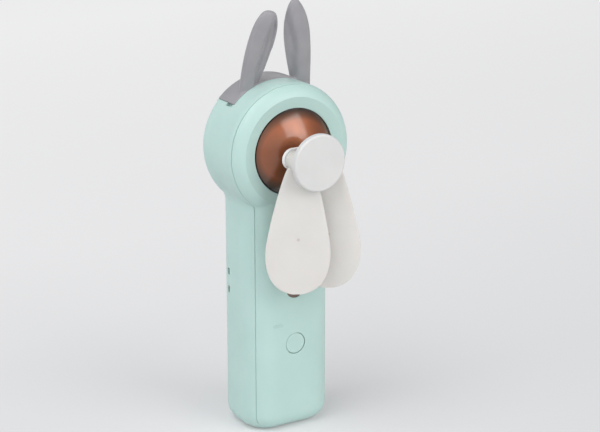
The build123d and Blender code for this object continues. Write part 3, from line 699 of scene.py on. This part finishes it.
# ---------------------------------------------------------------- water tank and mist parts
# The clear tank fills the back of the head. A fibre wick stands in it and a spring holds the wick
# against the mist disc, which is sealed behind the nozzle by a rubber ring and a screwed seat.
clear_resin = moulded(
    "clear_resin",
    card(222, 229, 232),
    card(228, 234, 236),
    0.12,
    grain=0.0008,
    depth=0.000003,
)
tune(clear_resin, {"Transmission Weight": 0.85, "IOR": 1.49})
dress(clear_resin, "water_tank", "tank_front")
wick_fibre = moulded(
    "wick_fibre",
    card(228, 225, 214),
    card(238, 236, 228),
    0.9,
    patch=0.002,
    grain=0.00025,
    depth=0.00004,
)
dress(wick_fibre, "wick")
seal_rubber = moulded(
    "seal_rubber",
    card(38, 38, 40),
    card(46, 46, 48),
    0.62,
    patch=0.004,
    grain=0.0002,
    depth=0.000008,
)
dress(seal_rubber, "filler_seal", "wick_port_seal", "atomizer_seal")
disc_steel = metal("disc_steel", card(176, 172, 160), card(192, 188, 178), 0.35, patch=0.002)
dress(disc_steel, "atomizer_disc")
dark_copper = metal(
    "dark_copper",
    card(124, 108, 101),
    card(136, 120, 112),
    0.32,
    patch=0.002,
    depth=0.000003,
)
dress(dark_copper, "nozzle_ring")

# ---------------------------------------------------------------- button
# The round button is the same mint ABS with a finer grain, and slides in a close hole in the
# front. It has a well rounded rim, a face that is dished a little for the thumb, and a flange
# behind.
button_low, button_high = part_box("button")
button_length = button_high.y - button_low.y
flange_radius = (button_high.x - button_low.x) / 2
flange_width = 0.0012
flange_thickness = 0.0009
cap_radius = flange_radius - flange_width
rim_rounding = 0.0005
rim_start = button_length - rim_rounding
rim_rings = 6
face_dish = 0.00025
bpy.ops.object.select_all(action="DESELECT")
bpy.ops.mesh.primitive_cylinder_add(
    vertices=96,
    radius=flange_radius,
    depth=flange_thickness,
    location=(0, 0, flange_thickness / 2),
)
push_cap = bpy.context.object
push_cap.name = "push_cap"
settle(push_cap)
edit(push_cap)
pick("FACE", lambda place: place.z > flange_thickness * 0.9)
bpy.ops.mesh.inset(thickness=flange_width)
cap_rings = [(cap_radius, rim_start)]
for ring in range(1, rim_rings + 1):
    turn = math.radians(90) * ring / rim_rings
    rim_radius = cap_radius - rim_rounding * (1 - math.cos(turn))
    cap_rings.append((rim_radius, rim_start + rim_rounding * math.sin(turn)))
for share in (0.8, 0.6, 0.4, 0.2, 0.05):
    cap_rings.append((rim_radius * share, button_length - face_dish * (1 - share**2)))
radius, height = cap_radius, flange_thickness
for new_radius, new_height in cap_rings:
    bpy.ops.mesh.extrude_region_move(
        TRANSFORM_OT_translate={"value": (0, 0, new_height - height)}
    )
    bpy.ops.transform.resize(value=(new_radius / radius, new_radius / radius, 1))
    radius, height = new_radius, new_height
finish_edit()
placing = Matrix.Rotation(math.radians(90), 4, "X")
placing.translation = Vector((0, button_high.y, (button_low.z + button_high.z) / 2))
settle(push_cap, placing)
bpy.ops.object.shade_smooth_by_angle(angle=math.radians(40))
button_abs = moulded(
    "button_abs",
    card(180, 209, 203),
    card(184, 212, 206),
    0.38,
    patch=0.004,
    grain=0.0003,
    depth=0.000004,
)
push_cap.data.materials.clear()
push_cap.data.materials.append(button_abs)
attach(push_cap, "push_button")
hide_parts("button")

# ---------------------------------------------------------------- ear cover
# The rabbit-ear filler cover is one soft grey silicone moulding: an arched band in a pocket of
# the head, two ears with a scooped inner side, and under the band a plug that closes the filler
# neck.
cover_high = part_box("ear_cover")[1]
seal_low, seal_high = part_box("filler_seal")
band_rear = cover_high.y
band_front = -0.0015
band_outer = head_radius + 0.0004
band_inner = head_radius - 0.0016
band_half_angle = math.radians(46)
band_overlap = 0.0005
plug_radius = 0.0032
ear_rings = 16
ear_sides = 32
ear_thickness = 0.0048
ear_foot_share = 0.09
ear_widest_share = 0.62
ear_tip_share = 0.985
ear_root_side = 0.0135
ear_root_back = 0.0009
ear_root_drop = 0.0015
ear_root_sink = 0.0040
# The scoop is pushed in four times, each time over a narrower strip: half width, then depth.
ear_scoop = ((0.0031, 0.0008), (0.0024, 0.0012), (0.0017, 0.0011), (0.0010, 0.0006))
ear_scoop_start = 0.18
ear_scoop_end = 0.88
skin_voxel = 0.0003


def ear_fullness(share, root, blunt):
    """Width of an ear at a share of its length: narrow root, widest past the middle, round tip."""
    if share < ear_widest_share:
        climb = max(share - ear_foot_share, 0) / (ear_widest_share - ear_foot_share)
        return root + (1 - root) * math.sin(climb * math.pi / 2)
    reach = (share - ear_widest_share) / (1 - ear_widest_share)
    return (1 - reach**blunt) ** (1 / blunt)


def make_ear(name, side, length, width, lean_in, lean_forward, blunt, root, scoop_at):
    """A leaf drawn up ring by ring from an oval, its inner side scooped, then set on the head."""
    bpy.ops.object.select_all(action="DESELECT")
    bpy.ops.mesh.primitive_circle_add(vertices=ear_sides, radius=1, fill_type="NGON")
    leaf = bpy.context.object
    leaf.name = name
    edit(leaf)
    step = length / ear_rings
    half_width = half_depth = 1
    for ring in range(ear_rings + 1):
        fullness = ear_fullness(min(ring / ear_rings, ear_tip_share), root, blunt)
        new_half_width = width / 2 * fullness
        new_half_depth = ear_thickness / 2 * (0.45 + 0.55 * fullness) * min(1, fullness * 2)
        if ring:
            bpy.ops.mesh.extrude_region_move(TRANSFORM_OT_translate={"value": (0, 0, step)})
        bpy.ops.transform.resize(
            value=(new_half_width / half_width, new_half_depth / half_depth, 1),
            center_override=(0, 0, ring * step),
        )
        half_width, half_depth = new_half_width, new_half_depth
    scoop_from, scoop_to = ear_scoop_start * length, ear_scoop_end * length
    scoop_middle = -side * width * scoop_at
    for scoop_half_width, push in ear_scoop:

        def in_scoop(place):
            taper = math.sin(math.pi * (place.z - scoop_from) / (scoop_to - scoop_from))
            inside = scoop_from < place.z < scoop_to and place.y < 0
            return inside and abs(place.x - scoop_middle) < scoop_half_width * (0.4 + 0.6 * taper)

        pick("VERT", in_scoop)
        bpy.ops.transform.translate(value=(0, push, 0))
    finish_edit()
    inwards, forwards = math.radians(lean_in), math.radians(lean_forward)
    length_way = Vector(
        (-side * math.sin(inwards), -math.sin(forwards), math.cos(inwards) * math.cos(forwards))
    ).normalized()
    width_way = Vector((0, 1, 0)).cross(length_way).normalized()
    depth_way = length_way.cross(width_way)
    root_x = side * ear_root_side
    root_z = head_centre.z + math.sqrt(head_radius**2 - root_x**2) - ear_root_drop
    placing = Matrix((width_way, depth_way, length_way)).transposed().to_4x4()
    placing.translation = Vector((root_x, ear_root_back, root_z)) - length_way * ear_root_sink
    settle(leaf, placing)
    modify(leaf, "SUBSURF", levels=2, render_levels=2)

    bpy.ops.object.select_all(action="DESELECT")
    bpy.ops.mesh.primitive_cylinder_add(
        vertices=128, radius=band_inner + band_overlap, depth=0.04
    )
    head_core = bpy.context.object
    placing = Matrix.Rotation(math.radians(90), 4, "X")
    placing.translation = head_centre
    settle(head_core, placing)
    modify(leaf, "BOOLEAN", operation="DIFFERENCE", object=head_core, solver="EXACT")
    bpy.data.objects.remove(head_core, do_unlink=True)
    return leaf


def make_band():
    """The arched band: its cross-section spun over the top of the head, with broken edges."""
    bpy.ops.object.select_all(action="DESELECT")
    bpy.ops.mesh.primitive_plane_add(size=1)
    band = bpy.context.object
    edit(band)
    bpy.ops.mesh.select_all(action="SELECT")
    bpy.ops.transform.resize(value=(band_outer - band_inner, band_rear - band_front, 1))
    bpy.ops.transform.translate(
        value=((band_outer + band_inner) / 2, (band_rear + band_front) / 2, 0)
    )
    bpy.ops.mesh.spin(steps=48, angle=2 * band_half_angle, center=(0, 0, 0), axis=(0, 1, 0))
    bpy.ops.mesh.select_all(action="SELECT")
    bpy.ops.mesh.remove_doubles(threshold=0.00001)
    face_outwards()
    finish_edit()
    placing = Matrix.Rotation(-(math.pi / 2 - band_half_angle), 4, "Y")
    placing.translation = head_centre
    settle(band, placing)
    modify(band, "BEVEL", width=0.0003, segments=2, limit_method="ANGLE")
    return band


def make_plug():
    """The plug under the band, with its lead-in chamfer."""
    plug_top = head_centre.z + band_inner + band_overlap
    bpy.ops.object.select_all(action="DESELECT")
    bpy.ops.mesh.primitive_cylinder_add(
        vertices=64,
        radius=plug_radius,
        depth=plug_top - seal_low.z,
        location=(0, (seal_low.y + seal_high.y) / 2, (plug_top + seal_low.z) / 2),
    )
    plug = bpy.context.object
    settle(plug)
    modify(plug, "BEVEL", width=0.0004, segments=3, limit_method="ANGLE")
    return plug


ear_pieces = [
    make_band(),
    make_plug(),
    make_ear(
        "ear_left",
        side=-1,
        length=0.0414,
        width=0.0126,
        lean_in=10.4,
        lean_forward=13.5,
        blunt=2.5,
        root=0.60,
        scoop_at=0.25,
    ),
    make_ear(
        "ear_right",
        side=1,
        length=0.0449,
        width=0.0130,
        lean_in=11.6,
        lean_forward=10.8,
        blunt=1.8,
        root=0.68,
        scoop_at=0.36,
    ),
]
# Band, plug and ears are melted into one skin, with soft inner corners.
bpy.ops.object.select_all(action="DESELECT")
for piece in ear_pieces:
    piece.select_set(True)
bpy.context.view_layer.objects.active = ear_pieces[0]
bpy.ops.object.join()
ear_moulding = bpy.context.object
ear_moulding.name = "ear_moulding"
ear_moulding.data.remesh_voxel_size = skin_voxel
bpy.ops.object.voxel_remesh()
modify(ear_moulding, "SMOOTH", factor=0.5, iterations=4)
bpy.ops.object.shade_smooth()

grey_silicone = moulded(
    "grey_silicone",
    card(146, 144, 148),
    card(153, 151, 155),
    0.58,
    patch=0.008,
    grain=0.00025,
    depth=0.000010,
)
tune(grey_silicone, {"Sheen Weight": 0.15, "Sheen Roughness": 0.5})
ear_moulding.data.materials.clear()
ear_moulding.data.materials.append(grey_silicone)
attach(ear_moulding, "ears")
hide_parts("ear_cover")
